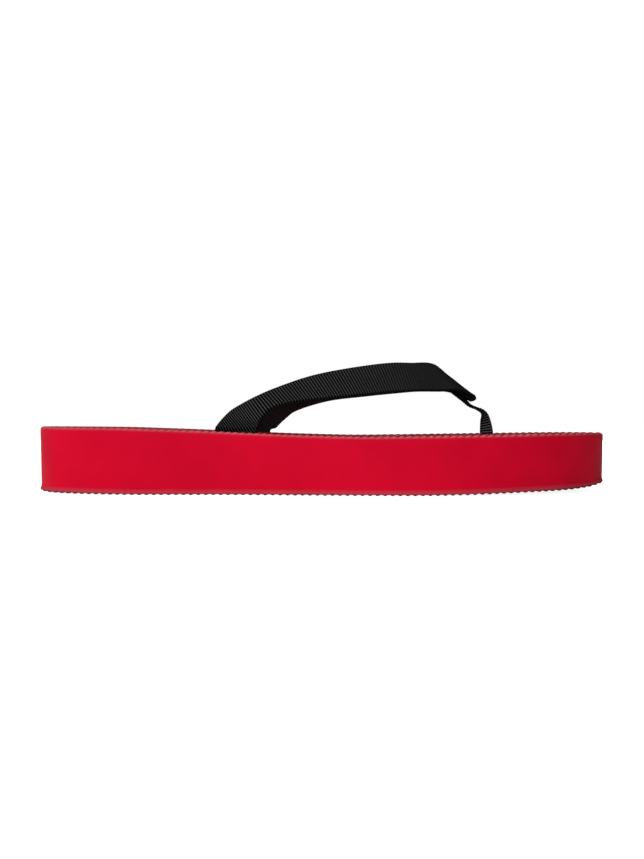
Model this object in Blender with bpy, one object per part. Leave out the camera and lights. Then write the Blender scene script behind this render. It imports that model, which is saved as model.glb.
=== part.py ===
"""Flatform toe post sandal: one right shoe, in metres, +Z up, standing on z = 0.

The toe points along +X and the outer (lateral) side of the foot is at -Y. Sizes below are in
millimetres, measured from the back of the heel, from the foot's axis and from the ground. The
meshes are moved so that the origin is under the middle of the sole's outline.
"""
import math

import bmesh
import bpy
import numpy as np

MM = 0.001

# Driving dimensions of the sole
SHOE_LENGTH = 255.0
BALL_WIDTH = 90.0
OUTSOLE_THICKNESS = 2.6
OUTSOLE_STEP = 0.5
OUTSOLE_EDGE = 0.5
FOOTBED_THICKNESS = 2.4
FOOTBED_ROUND_IN = 1.5
FOOTBED_ROUND_DOWN = 1.0
WALL_DRAFT = 0.4
JOINT_GAP = 0.3

# Driving dimensions of the webbing
STRAP_WIDTH = 18.0
STRAP_THICKNESS = 1.5
LAYER_SPACING = 1.7
POST_WIDTH = 6.3
POST_THICKNESS = 1.4
POST_DOUBLED = 2.1

# Slots: where each one starts and ends along the shoe, and how far in from the sole's edge it is.
# A tail goes straight down its pocket, and comes straight up out of it by a share of the depth.
OUTER_SLOT = (80.1, 99.0)
INNER_SLOT = (83.7, 102.6)
SLOT_INSET = 5.8
POCKET_DEPTH = 11.0
POCKET_RAKE = 1.6
POCKET_RISE = 0.16
POST_SLOT = (202.15, 9.0)
POST_SLOT_TURN = 84.0

# The fold at the toe, where the outer arm lies over the inner one: its middle, its fall towards the toe,
# its turn towards the inner side, and how far up the slope the arms cross
FOLD_CENTRE = (195.4, 9.0, 42.4)
FOLD_SLOPE = 38.4
FOLD_YAW = -3.0
FOLD_OVERLAP = 23.2

# Where an arm's front edge comes into the crossing: behind the fold, out from its middle, below it on the
# outer and on the inner side, and how fast that drop grows with the distance behind the fold
BRIM_REACH = 12.5
BRIM_SPREAD = 12.0
OUTER_BRIM_DROP = 6.9
INNER_BRIM_DROP = 4.6
BRIM_GROWTH = 1.5

# Mesh fineness
SOLE_STATIONS = 56
CROSSING_ROWS = 4
CURVE_SAMPLES = 48
ROUND_STEPS = 3
FOLD_STEPS = 8
STRAP_STEP = 3.2
STRAP_ACROSS = 6
POST_STEP = 2.0
POST_ACROSS = 2
SHARP_ANGLE = math.radians(35.0)
MERGE_DISTANCE = 0.0001

# Edge of the sole from above: name, share of the length, share of the ball width (outer is negative)
OUTLINE = (
    ("heel back", 0.000, 0.000),
    ("heel outer turn", 0.036, -0.250),
    ("heel outer side", 0.135, -0.368),
    ("waist outer side", 0.345, -0.388),
    ("ball outer side", 0.628, -0.488),
    ("little toe", 0.795, -0.448),
    ("outer toes", 0.922, -0.262),
    ("toe tip", 0.998, 0.070),
    ("big toe", 0.968, 0.318),
    ("big toe side", 0.868, 0.462),
    ("ball inner side", 0.715, 0.512),
    ("waist inner side", 0.425, 0.376),
    ("heel inner side", 0.135, 0.362),
    ("heel inner turn", 0.036, 0.250),
)

# Side of the sole: distance from the heel, height of its underside, height of its top
SIDE = (
    (0.0, 0.95, 29.1),
    (7.0, 0.65, 29.0),
    (18.0, 0.40, 28.9),
    (36.0, 0.14, 28.7),
    (52.0, 0.00, 28.2),
    (72.0, 0.00, 27.5),
    (95.0, 0.00, 26.5),
    (118.0, 0.00, 25.6),
    (145.0, 0.00, 25.0),
    (166.0, 0.00, 25.2),
    (188.0, 0.36, 25.5),
    (208.0, 1.02, 25.8),
    (232.0, 1.75, 26.2),
    (245.0, 2.50, 26.3),
    (255.0, 4.00, 26.3),
)

# Free runs of the strap: distance from the heel, place across and height of its rear, then front edge
OUTER_ARM = (
    (85.7, -20.5, 35.6, 99.5, -29.2, 29.7),
    (91.4, -14.7, 39.4, 100.4, -28.5, 32.1),
    (98.4, -11.7, 43.0, 104.5, -27.5, 36.8),
    (105.5, -10.7, 46.1, 111.4, -26.4, 39.3),
    (121.6, -9.0, 51.8, 128.4, -22.3, 41.6),
    (139.5, -5.2, 55.6, 145.7, -16.9, 43.3),
    (157.8, 1.1, 58.1, 162.1, -10.7, 44.9),
    (166.6, 4.6, 58.2, 169.9, -8.1, 45.2),
)
INNER_ARM = (
    (89.1, 22.8, 34.6, 105.5, 28.0, 29.0),
    (94.1, 18.8, 38.4, 107.3, 28.1, 30.9),
    (100.1, 15.8, 42.2, 110.2, 28.2, 33.6),
    (106.1, 14.2, 45.2, 113.8, 28.3, 36.4),
    (123.1, 14.9, 51.8, 129.4, 28.0, 41.3),
    (140.1, 16.2, 55.8, 146.6, 27.9, 43.4),
    (158.1, 15.2, 58.3, 162.6, 27.2, 45.0),
    (166.6, 12.9, 58.4, 170.6, 26.3, 45.7),
)

# Toe post after it leaves the fold: distance from the heel, height, turn of its width towards the toe
POST_RUN = (
    (194.4, 39.0, 0.0),
    (197.6, 37.6, 4.0),
    (200.2, 36.2, 14.0),
    (201.2, 34.7, 28.0),
    (201.5, 33.0, 42.0),
    (201.8, 30.4, 60.0),
)
POST_UNDER_FOLD = (-13.0, -7.5, -2.5)
POST_DROP = 2.95

# Base colour as sRGB values, then roughness
FINISHES = {
    "outsole": ((176, 58, 70), 0.62),
    "midsole": ((200, 8, 41), 0.45),
    "footbed": ((180, 12, 38), 0.4),
    "upper_strap": ((30, 30, 31), 0.8),
    "toe_post": ((30, 30, 31), 0.8),
}


def clear_scene():
    """Remove every object that the scene starts with."""
    for item in list(bpy.data.objects):
        bpy.data.objects.remove(item, do_unlink=True)


def linear(channel):
    """Turn one sRGB value out of 255 into a linear share."""
    share = channel / 255.0
    return share / 12.92 if share <= 0.04045 else ((share + 0.055) / 1.055) ** 2.4


def finish_for(name):
    """Make the material of one piece."""
    colour, roughness = FINISHES[name]
    material = bpy.data.materials.new(name + "_finish")
    material.use_nodes = True
    shader = material.node_tree.nodes["Principled BSDF"]
    shader.inputs["Base Color"].default_value = (*[linear(channel) for channel in colour], 1.0)
    shader.inputs["Roughness"].default_value = roughness
    shader.inputs["Metallic"].default_value = 0.0
    return material


def through(rows, step):
    """Carry a smooth curve through rows of points, with a new row about every step."""
    rows = np.asarray(rows, dtype=float)
    gaps = np.linalg.norm(np.diff(rows, axis=0), axis=2).mean(axis=1)
    knots = np.concatenate([[0.0], np.cumsum(np.sqrt(gaps))])
    slopes = np.empty_like(rows)
    spans = np.diff(knots)[:, None, None]
    chords = np.diff(rows, axis=0) / spans
    slopes[1:-1] = (chords[:-1] * spans[1:] + chords[1:] * spans[:-1]) / (spans[:-1] + spans[1:])
    slopes[0] = chords[0]
    slopes[-1] = chords[-1]
    smooth = [rows[0]]
    for i, gap in enumerate(gaps):
        count = max(1, round(gap / step))
        span = spans[i]
        for k in range(1, count + 1):
            t = k / count
            start = (1 + 2 * t) * (1 - t) ** 2 * rows[i] + t * (1 - t) ** 2 * span * slopes[i]
            end = t * t * (3 - 2 * t) * rows[i + 1] + t * t * (t - 1) * span * slopes[i + 1]
            smooth.append(start + end)
    return np.array(smooth)


def along_side(column, x):
    """Height of the sole at x from the side table, with no overshoot between its rows."""
    table = np.array(SIDE)
    xs = table[:, 0]
    ys = table[:, column]
    steps = np.diff(xs)
    chords = np.diff(ys) / steps
    slopes = np.zeros_like(ys)
    for i in range(1, len(xs) - 1):
        if chords[i - 1] * chords[i] > 0.0:
            slopes[i] = 2.0 / (1.0 / chords[i - 1] + 1.0 / chords[i])
    slopes[0] = chords[0]
    slopes[-1] = chords[-1]
    i = int(np.clip(np.searchsorted(xs, x) - 1, 0, len(steps) - 1))
    t = min(max((x - xs[i]) / steps[i], 0.0), 1.0)
    start = (1 + 2 * t) * (1 - t) ** 2 * ys[i] + t * (1 - t) ** 2 * steps[i] * slopes[i]
    end = t * t * (3 - 2 * t) * ys[i + 1] + t * t * (t - 1) * steps[i] * slopes[i + 1]
    return start + end


def underside(x):
    """Height of the sole's underside."""
    return along_side(1, x)


def top(x):
    """Height of the footbed's top."""
    return along_side(2, x)


def outline_curve():
    """Closed curve of the sole's edge, scaled to the shoe's length and ball width."""
    places = np.array([(x, y) for _, x, y in OUTLINE])
    wrapped = np.concatenate([places[-2:], places, places[:3]])
    rounds = through(wrapped[:, None, :] * [SHOE_LENGTH, BALL_WIDTH], BALL_WIDTH / CURVE_SAMPLES)[:, 0, :]
    first = int(np.argmin(np.linalg.norm(rounds - places[0] * [SHOE_LENGTH, BALL_WIDTH], axis=1)))
    beyond = rounds[first + CURVE_SAMPLES:]
    last = int(np.argmin(np.linalg.norm(beyond - rounds[first], axis=1))) + first + CURVE_SAMPLES
    curve = rounds[first:last]
    low = curve.min(axis=0)
    high = curve.max(axis=0)
    size = np.array([SHOE_LENGTH, BALL_WIDTH])
    offset = np.array([0.0, low[1]])
    return (curve - low) / (high - low) * size + offset


def sole_edges():
    """The outer and the inner edge of the sole, each from heel to toe."""
    curve = outline_curve()
    heel = int(np.argmin(curve[:, 0]))
    curve = np.roll(curve, -heel, axis=0)
    toe = int(np.argmax(curve[:, 0]))
    outer = curve[:toe + 1]
    inner = np.concatenate([curve[toe:], curve[:1]])[::-1]
    return outer, inner


OUTER_EDGE, INNER_EDGE = sole_edges()
ORIGIN = np.array([SHOE_LENGTH / 2, (OUTER_EDGE[:, 1].min() + INNER_EDGE[:, 1].max()) / 2, 0.0])


def edge_y(edge, x):
    """Place across the shoe of one edge at x."""
    return float(np.interp(x, edge[:, 0], edge[:, 1]))


def sole_ring():
    """Outer and inner point of each station along the sole, and their outward directions."""
    turn = np.linspace(0.0, math.pi, SOLE_STATIONS + 1)
    stations = SHOE_LENGTH / 2 * (1.0 - np.cos(turn))
    outer = [(x, edge_y(OUTER_EDGE, x)) for x in stations]
    inner = [(x, edge_y(INNER_EDGE, x)) for x in stations[1:-1]]
    loop = np.array(outer + inner[::-1])
    run = np.roll(loop, -1, axis=0) - np.roll(loop, 1, axis=0)
    outward = np.stack([run[:, 1], -run[:, 0]], axis=1)
    outward /= np.linalg.norm(outward, axis=1)[:, None]
    pairs = [i for k in range(SOLE_STATIONS + 1) for i in (k, -k)]
    return loop[pairs], outward[pairs]


def numbered_grid(rows, columns):
    """Sheet of vertices, each one marked with its number counted row by row."""
    bm = bmesh.new()
    number = bm.verts.layers.int.new("number")
    bmesh.ops.create_grid(bm, x_segments=rows - 1, y_segments=columns - 1, size=1.0)
    for vert in bm.verts:
        row = round((vert.co.x + 1.0) / 2.0 * (rows - 1))
        column = round((vert.co.y + 1.0) / 2.0 * (columns - 1))
        vert[number] = row * columns + column
    return bm, number


def raise_faces(bm, faces, number, places):
    """Extrude faces to new places, and give back the faces at the new height."""
    edges = dict.fromkeys(edge for face in faces for edge in face.edges)
    raised = bmesh.ops.extrude_face_region(bm, geom=[*faces, *edges])["geom"]
    for item in raised:
        if isinstance(item, bmesh.types.BMVert):
            item.co = places[item[number]]
    return [item for item in raised if isinstance(item, bmesh.types.BMFace)]


def add_object(name, bm):
    """Turn a bmesh in millimetres into a named object in metres with its own material."""
    for vert in bm.verts:
        vert.co = (np.array(vert.co) - ORIGIN) * MM
    bmesh.ops.recalc_face_normals(bm, faces=bm.faces)
    mesh = bpy.data.meshes.new(name)
    bm.to_mesh(mesh)
    bm.free()
    item = bpy.data.objects.new(name, mesh)
    bpy.context.scene.collection.objects.link(item)
    if name in FINISHES:
        mesh.materials.append(finish_for(name))
    mesh.shade_smooth()
    mesh.set_sharp_from_angle(angle=SHARP_ANGLE)
    return item


def sole_layer(name, rings):
    """Raise a layer ring by ring; each ring has an outward shift and a height function."""
    ring, outward = sole_ring()
    levels = []
    for shift, height in rings:
        places = ring + outward * shift
        levels.append([(x, y, height(x)) for x, y in places])
    bm, number = numbered_grid(SOLE_STATIONS + 1, 2)
    for vert in bm.verts:
        vert.co = levels[0][vert[number]]
    bmesh.ops.remove_doubles(bm, verts=bm.verts, dist=MERGE_DISTANCE)
    faces = bm.faces[:]
    for places in levels[1:]:
        faces = raise_faces(bm, faces, number, places)
    return add_object(name, bm)


def make_outsole():
    """Thin sheet under the sole that stands a step proud of the wall."""
    return sole_layer("outsole", (
        (OUTSOLE_STEP - OUTSOLE_EDGE - WALL_DRAFT, underside),
        (OUTSOLE_STEP - WALL_DRAFT, lambda x: underside(x) + OUTSOLE_EDGE),
        (OUTSOLE_STEP - WALL_DRAFT, lambda x: underside(x) + OUTSOLE_THICKNESS),
    ))


def make_midsole():
    """Thick slab between outsole and footbed, a little narrower at the ground."""
    lift = OUTSOLE_THICKNESS + JOINT_GAP
    drop = FOOTBED_THICKNESS + JOINT_GAP
    return sole_layer("midsole", (
        (-WALL_DRAFT, lambda x: underside(x) + lift),
        (0.0, lambda x: top(x) - drop),
    ))


def make_footbed():
    """Thin top sheet with a rounded upper edge."""
    rings = [(0.0, lambda x: top(x) - FOOTBED_THICKNESS)]
    for k in range(ROUND_STEPS + 1):
        angle = math.pi / 2 * k / ROUND_STEPS
        inset = FOOTBED_ROUND_IN * (1.0 - math.cos(angle))
        fall = FOOTBED_ROUND_DOWN * (1.0 - math.sin(angle))
        rings.append((-inset, lambda x, fall=fall: top(x) - fall))
    return sole_layer("footbed", rings)


def fold_frame():
    """Axes of the fold: down its slope to the toe, across to the inner side, and up from it."""
    slope = math.radians(FOLD_SLOPE)
    yaw = math.radians(FOLD_YAW)
    down = np.array([math.cos(slope) * math.cos(yaw), math.cos(slope) * math.sin(yaw), -math.sin(slope)])
    across = np.array([-math.sin(yaw), math.cos(yaw), 0.0])
    return down, across, np.cross(down, across)


def crossing_point(a, b, lift):
    """Point on the arched crossing of the two arms, lift away from its middle layer."""
    down, across, up = fold_frame()
    brim_drop = OUTER_BRIM_DROP if b < 0.0 else INNER_BRIM_DROP
    drop = brim_drop / BRIM_SPREAD ** 2 * (abs(a) / BRIM_REACH) ** BRIM_GROWTH
    fall_along = BRIM_GROWTH * drop / a * b * b if a else 0.0
    normal = up + fall_along * down + 2.0 * drop * b * across
    normal /= np.linalg.norm(normal)
    return np.array(FOLD_CENTRE) + a * down + b * across - drop * b * b * up + lift * normal


def straight_row(start, end, count):
    """Evenly spaced points from start to end."""
    shares = np.linspace(0.0, 1.0, count + 1)[:, None]
    return np.asarray(start) * (1.0 - shares) + np.asarray(end) * shares


def crossing_rows(side):
    """Rows of one arm from the notch of the V down to the fold; side is -1 for the outer arm."""
    half_fold = FOLD_OVERLAP * math.tan(math.asin(STRAP_WIDTH / (2.0 * FOLD_OVERLAP)))
    rows = []
    for share in np.linspace(0.0, 1.0, CROSSING_ROWS):
        rear = (-FOLD_OVERLAP * (1.0 - share), -side * half_fold * share)
        front = (-BRIM_REACH * (1.0 - share), side * (BRIM_SPREAD * (1.0 - share) + half_fold * share))
        places = straight_row(front, rear, STRAP_ACROSS)
        rows.append([crossing_point(a, b, -side * LAYER_SPACING / 2) for a, b in places])
    return np.array(rows), half_fold


def fold_rows(half_fold):
    """Half turn of the webbing round the fold line, between the two layers."""
    down, across, up = fold_frame()
    rows = []
    for k in range(1, FOLD_STEPS):
        angle = math.pi * k / FOLD_STEPS
        out = LAYER_SPACING / 2 * (math.sin(angle) * down + math.cos(angle) * up)
        line = straight_row(-half_fold * across, half_fold * across, STRAP_ACROSS)
        rows.append(np.array(FOLD_CENTRE) + out + line)
    return np.array(rows)


def slot_rows(slot, edge, side):
    """Strap inside the sole: the end of its tail, the slot, and its first rise above the footbed."""
    ends = []
    for x in slot:
        y = edge_y(edge, x) - side * SLOT_INSET
        ends.append(np.array([x, y, top(x)]))
    lean = np.array([POCKET_RAKE, 0.0, POCKET_DEPTH])
    rear, front = ends
    return [
        straight_row(front + lean * share, rear + lean * share, STRAP_ACROSS)
        for share in (-1.0, 0.0, POCKET_RISE)
    ]


def arm_rows(slot, edge, side, table):
    """Rows of one arm from its tail to the fold, front edge first."""
    rows = slot_rows(slot, edge, side)
    for row in table:
        rows.append(straight_row(row[3:], row[:3], STRAP_ACROSS))
    crossing, half_fold = crossing_rows(side)
    return np.concatenate([np.array(rows), crossing]), half_fold


def strap_rows():
    """Middle surface of the whole strap, from the outer tail round the fold to the inner tail."""
    outer, half_fold = arm_rows(OUTER_SLOT, OUTER_EDGE, -1, OUTER_ARM)
    inner, _ = arm_rows(INNER_SLOT, INNER_EDGE, 1, INNER_ARM)
    turned = inner[::-1, ::-1]
    return np.concatenate([outer, fold_rows(half_fold), turned])


def surface_normals(rows):
    """Unit normals of a sheet of rows of points."""
    along = np.gradient(rows, axis=0)
    across = np.gradient(rows, axis=1)
    normals = np.cross(along, across)
    return normals / np.linalg.norm(normals, axis=2)[:, :, None]


def webbing_solid(name, rows, thickness):
    """Closed solid of the given thickness about a sheet of rows; thickness may change by row."""
    half = np.broadcast_to(np.asarray(thickness, dtype=float), len(rows))[:, None, None] / 2
    shift = surface_normals(rows) * half
    back = (rows - shift).reshape(-1, 3)
    face = (rows + shift).reshape(-1, 3)
    bm, number = numbered_grid(rows.shape[0], rows.shape[1])
    for vert in bm.verts:
        vert.co = back[vert[number]]
    raise_faces(bm, bm.faces[:], number, face)
    return add_object(name, bm)


def post_rows():
    """Middle surface of the toe post and its thickness, from under the fold to its tail."""
    rows = []
    thickness = []
    half_width = POST_WIDTH / 2
    for a in POST_UNDER_FOLD:
        places = straight_row((a, -half_width), (a, half_width), POST_ACROSS)
        rows.append([crossing_point(pa, pb, -POST_DROP) for pa, pb in places])
        thickness.append(POST_DOUBLED)
    x, y = POST_SLOT
    run = list(POST_RUN)
    run.append((x, top(x), POST_SLOT_TURN))
    run.append((x, top(x) - POCKET_DEPTH, POST_SLOT_TURN))
    path = np.array([(px, pz) for px, pz, _ in run])
    heading = np.gradient(path, axis=0)
    heading /= np.linalg.norm(heading, axis=1)[:, None]
    for (px, pz, turn), (hx, hz) in zip(run, heading):
        angle = math.radians(turn)
        reach = half_width * np.array([-hz * math.sin(angle), math.cos(angle), hx * math.sin(angle)])
        middle = np.array([px, y, pz])
        rows.append(straight_row(middle - reach, middle + reach, POST_ACROSS))
        thickness.append(POST_THICKNESS)
    return np.array(rows), np.array(thickness)


def make_upper_strap():
    """One folded length of webbing: both arms and the fold that joins them."""
    return webbing_solid("upper_strap", through(strap_rows(), STRAP_STEP), STRAP_THICKNESS)


def make_toe_post():
    """Narrow tape that hangs from under the fold and turns into the toe slot."""
    rows, thickness = post_rows()
    columns = thickness[:, None, None] * np.ones((1, rows.shape[1], 1))
    smooth = through(np.concatenate([rows, columns], axis=2), POST_STEP)
    return webbing_solid("toe_post", smooth[:, :, :3], smooth[:, 0, 3])


def pocket_cutter(name, low_row, high_row, thickness):
    """Room for a tail: its own section grown by the joint gap, from below its end to above the sole."""
    low_row = np.asarray(low_row, dtype=float)
    high_row = np.asarray(high_row, dtype=float)
    rise = high_row - low_row
    rise_step = rise / np.linalg.norm(rise, axis=1)[:, None]
    along = low_row[-1] - low_row[0]
    along *= JOINT_GAP / np.linalg.norm(along)
    rows = np.array([low_row - rise_step * JOINT_GAP, high_row])
    rows[:, 0] -= along
    rows[:, -1] += along
    cutter = webbing_solid(name, rows, thickness + 2.0 * JOINT_GAP)
    cutter.hide_render = True
    cutter.display_type = "WIRE"
    return cutter


def cut(item, cutters):
    """Take the cutters out of a sole layer, and keep the rims of the pockets sharp."""
    for cutter in cutters:
        modifier = item.modifiers.new(cutter.name, "BOOLEAN")
        modifier.operation = "DIFFERENCE"
        modifier.solver = "EXACT"
        modifier.object = cutter
    graph = bpy.context.evaluated_depsgraph_get()
    cut_mesh = bpy.data.meshes.new_from_object(item.evaluated_get(graph))
    item.modifiers.clear()
    item.data = cut_mesh
    cut_mesh.shade_smooth()
    cut_mesh.set_sharp_from_angle(angle=SHARP_ANGLE)


def make_cutters():
    """Pockets for the two strap tails and the post's tail."""
    outer = slot_rows(OUTER_SLOT, OUTER_EDGE, -1)
    inner = slot_rows(INNER_SLOT, INNER_EDGE, 1)
    post, _ = post_rows()
    post_high = post[-2] + (post[-2] - post[-1]) * POCKET_RISE
    return (
        pocket_cutter("outer_pocket", outer[0], outer[2], STRAP_THICKNESS),
        pocket_cutter("inner_pocket", inner[0], inner[2], STRAP_THICKNESS),
        pocket_cutter("post_pocket", post[-1], post_high, POST_THICKNESS),
    )


def main():
    """Build every piece of the sandal."""
    clear_scene()
    make_outsole()
    midsole = make_midsole()
    footbed = make_footbed()
    make_upper_strap()
    make_toe_post()
    cutters = make_cutters()
    cut(midsole, cutters)
    cut(footbed, cutters)


main()
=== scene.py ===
"""Looks of the flatform toe post sandal: foam sole, textured footbed, ribbed tread and woven strap.

The tables hold the maker's pattern in millimetres, measured from the back of the heel, from the foot's
axis and from the ground. The meshes are in metres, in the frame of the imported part: toe along +X, outer
side of this right shoe at -Y.
"""
import math

import bmesh
import bpy
import numpy as np
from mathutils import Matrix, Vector


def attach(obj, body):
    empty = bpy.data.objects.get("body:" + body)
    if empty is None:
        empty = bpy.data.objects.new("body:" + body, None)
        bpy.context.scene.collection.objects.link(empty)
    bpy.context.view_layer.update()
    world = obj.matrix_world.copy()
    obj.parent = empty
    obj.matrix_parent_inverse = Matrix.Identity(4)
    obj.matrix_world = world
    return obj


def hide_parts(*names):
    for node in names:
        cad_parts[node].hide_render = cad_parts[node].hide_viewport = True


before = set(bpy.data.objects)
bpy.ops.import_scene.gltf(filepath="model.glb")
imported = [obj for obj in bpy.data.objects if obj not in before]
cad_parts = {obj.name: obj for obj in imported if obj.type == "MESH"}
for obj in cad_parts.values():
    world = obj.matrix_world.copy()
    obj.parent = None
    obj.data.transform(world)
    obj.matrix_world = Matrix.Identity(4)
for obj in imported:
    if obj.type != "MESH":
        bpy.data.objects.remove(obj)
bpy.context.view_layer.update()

bl_info = {
    "name": "Flatform Toe Post Sandal",
    "version": (1, 0, 0),
    "blender": (4, 5, 0),
    "location": "View3D > Sidebar > Sandal",
    "description": "Dresses the packed sandal: sole layers, footbed texture, tread and ribbed webbing",
    "category": "Object",
}

MM = 0.001
BODY = "root"

# Sole, as the pattern gives it
SHOE_LENGTH = 255.0
BALL_WIDTH = 90.0
OUTSOLE_THICKNESS = 2.6
OUTSOLE_STEP = 0.5
FOOTBED_THICKNESS = 2.4
FOOTBED_ROUND_IN = 1.5
FOOTBED_ROUND_DOWN = 1.0
WALL_DRAFT = 0.4
JOINT_LAP = 0.25
EDGE_SOFTNESS = 0.35
LEDGE_SLOPE = 1.85

# Webbing, as the pattern gives it
LAYER_SPACING = 1.7
POST_DOUBLED = 2.1
OUTER_SLOT = (80.1, 99.0)
INNER_SLOT = (83.7, 102.6)
SLOT_INSET = 5.8
POCKET_DEPTH = 11.0
POCKET_RAKE = 1.6
POCKET_RISE = 0.16
POST_SLOT = (202.15, 9.0)
POST_SLOT_TURN = 84.0
FOLD_CENTRE = (195.4, 9.0, 42.4)
FOLD_SLOPE = 38.4
FOLD_YAW = -3.0
FOLD_OVERLAP = 23.2
FOLD_STEPS = 8
CROSSING_ROWS = 4
BRIM_REACH = 12.5
BRIM_SPREAD = 12.0
OUTER_BRIM_DROP = 6.9
INNER_BRIM_DROP = 4.6
BRIM_GROWTH = 1.5
POST_UNDER_FOLD = (-13.0, -7.5, -2.5)
POST_DROP = 2.95

# Cross ribs of the footbed: their slant from the shoe's length, how broad their crests are, how far they
# sweep back over its round edge, and the turns of that edge where they start and reach their full height
FOOTBED_RIB_SLANT = 82.0
FOOTBED_RIB_CREST = 0.45
RIM_SWEEP = 1.7
RIB_START = math.radians(20.0)
RIB_FULL = math.radians(45.0)

# Painted highlight along the footbed's round rim, a pale sheen painted into its colour: the turn of its
# edge where the painted highlight on the ribs stops, how strong the even painted sheen below them is and
# how far down it fades out, and how clear the ribs are in it by distance from the heel
RIM_HIGHLIGHT_END = math.radians(84.0)
RIM_HIGHLIGHT_EVEN = 0.32
RIM_HIGHLIGHT_REACH = 1.3
RIBS_IN_RIM_HIGHLIGHT = (
    (20.0, 0.15),
    (45.0, 0.55),
    (80.0, 0.60),
    (95.0, 0.30),
    (130.0, 0.40),
    (160.0, 0.80),
    (200.0, 1.00),
    (238.0, 1.00),
    (252.0, 0.10),
)

# Tones of the footbed, from its painted groove shade at 0 to its painted rim highlight at 1: the plain foam
# of its wall, the crests away from the rim, the grooves of the highlighted rim, and that rim where its ribs
# don't show
WALL_TONE = 0.5
INSIDE_TONE = 0.48
RIM_HIGHLIGHT_GROOVE = 0.42
RIM_HIGHLIGHT_LEVEL = 0.72

# Outsole: the height shares at which the painted shade of its teeth eases and at which its own colour is
# reached, how much lighter than the teeth it is at the first, how far in from its edge the teeth are
# painted dark, and the shares at which its soft lower edge and its sloped ledge bend
TREAD_EDGE = 0.2
TREAD_TONE = 0.36
TREAD_EASED = 1.5
TREAD_MARGIN = 1.5
EDGE_BEND = 0.3
LEDGE_BEND = 0.7

# Foam drawn in beside the webbing where it enters a slot
SLOT_PINCH_REACH = 1.6
SLOT_PINCH_DEPTH = 0.8

# Lower ends of the arms: rows of the pattern below the one that the ribs start from, length of cloth
# below it, and how the rows draw together inside the pocket below the first few millimetres
TAIL_ROWS = 6
TAIL_LENGTH = 42.0
TAIL_FREE = 3.0
TAIL_SQUEEZE = 0.25

# Ribs of the webbing: mean height of a round rib in depths, how much of its relief and of its tone show at
# a selvedge, where the lower tone is painted shade, and how much of its relief stays where the webbing is
# pressed flat
RIB_MEAN = 0.785
SELVEDGE_RIB = 0.3
SELVEDGE_TONE = 0.25
PRESSED_RELIEF = 0.35

# Strength of the ribs on the outer face by distance along the cloth from the fold, on the face towards
# the foot, and on the toe post by distance from its upper end. It sets their relief and how strongly their
# painted crest highlights and groove shade show; the fading towards the fold is painted, standing in for
# light that picks the ribs out lower down only
RIB_STRENGTH = ((28.0, 0.05), (42.0, 0.40), (60.0, 0.70), (85.0, 0.80), (118.0, 1.0))
FOOT_SIDE_STRENGTH = 0.05
POST_STRENGTH = ((14.0, 0.0), (22.0, 1.0))

# Shade of the strap's foot, by distance along the cloth from its slot
SLOT_SHADE = ((0.0, 0.4), (3.0, 0.58), (11.0, 1.0))

# Tone of the cloth, from black in a groove, a painted shade, to the yarn's colour on a crest, a painted
# highlight: how narrow the bright crests of the strap and of the toe post are, the even tone where the
# outer face's ribs fade out, and the painted light on the face towards the foot, which lies in shade, by
# distance along the cloth from the fold
CREST_SHARPNESS = 36.0
POST_SHARPNESS = 18.0
FLAT_TONE = 0.135
FOOT_SIDE_PAINTED_LIGHT = ((16.0, FLAT_TONE), (45.0, 0.46), (72.0, 0.38), (90.0, 0.23))
WEBBING_GROOVE_SHADE = (0.0, 0.0, 0.0)

# Foam: its clouds and how far they shade it, its pores, its roughness and how far the pores change that,
# and its gloss. Real pores are about 0.1 mm wide: they are drawn coarser, so that they show
CLOUD_SIZE = 18.0 * MM
CLOUD_DARK = 0.94
CLOUD_LIGHT = 1.05
OUTSOLE_PORE = 0.5 * MM
MIDSOLE_PORE = 0.4 * MM
FOOTBED_PORE = 0.35 * MM
PORE_DEPTH = 0.03 * MM
OUTSOLE_ROUGHNESS = 0.62
FOAM_ROUGHNESS = 0.45
PORE_SMOOTHER = 0.05
PORE_ROUGHER = 0.06
FOAM_INDEX = 1.48
FOAM_SPECULAR = 0.03

# Webbing: its yarns, its fuzz and its dull surface. Real yarns are about 0.2 mm wide: they are drawn
# coarser, so that they show
YARN_PITCH = 0.35 * MM
YARN_DEPTH = 0.05 * MM
YARN_WANDER = 0.6
FUZZ_SIZE = 0.6 * MM
FUZZ_SHARE = 0.02
WEBBING_ROUGHNESS = 0.55
WEBBING_INDEX = 1.5
WEBBING_SPECULAR = 0.0

# Textures: the range that a noise mostly keeps to, the length over which a wave of scale 1 repeats, and how
# much of its depth a bump shows
NOISE_LOW = 0.3
NOISE_HIGH = 0.7
WAVE_LENGTH = math.pi / 10.0
BUMP_STRENGTH = 0.5

# Stage: sizes and places in metres, and the strengths of the floor's glow and of the white surround
WHITE = (1.0, 1.0, 1.0, 1.0)
FLOOR_REACH = 6.0
FLOOR_ROUGHNESS = 0.9
FLOOR_GLOW = 0.9
WORLD_DARK = 0.06
WORLD_BRIGHT = 0.3
WORLD_AIM = (-1.0, 0.2, 0.0)
WORLD_FADE = (-0.3, 0.6)
CAMERA_SIDE = -0.0007
CAMERA_NEAR = 0.01
AIM_HEIGHT = 0.02805
SENSOR_SIZE = 36.0

# Soft boxes: name, place, what it faces, size of its side, power in watts, whether gloss mirrors it
LIGHTS = (
    ("side_box", (-1.3, -0.5, 0.8), (0.0, 0.0, 0.03), 0.8, 8.0, True),
    ("front_box", (-0.25, -1.6, 0.45), (0.0, 0.0, 0.03), 0.9, 13.4, False),
    ("low_box", (-0.05, -1.6, 0.12), (0.0, 0.0, 0.03), 0.2, 3.4, False),
    ("back_box", (0.2, 1.5, 0.4), (0.0, 0.0, 0.03), 0.7, 9.0, False),
    ("top_box", (0.0, 0.2, 1.4), (0.0, 0.0, 0.0), 1.2, 3.0, True),
)

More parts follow.
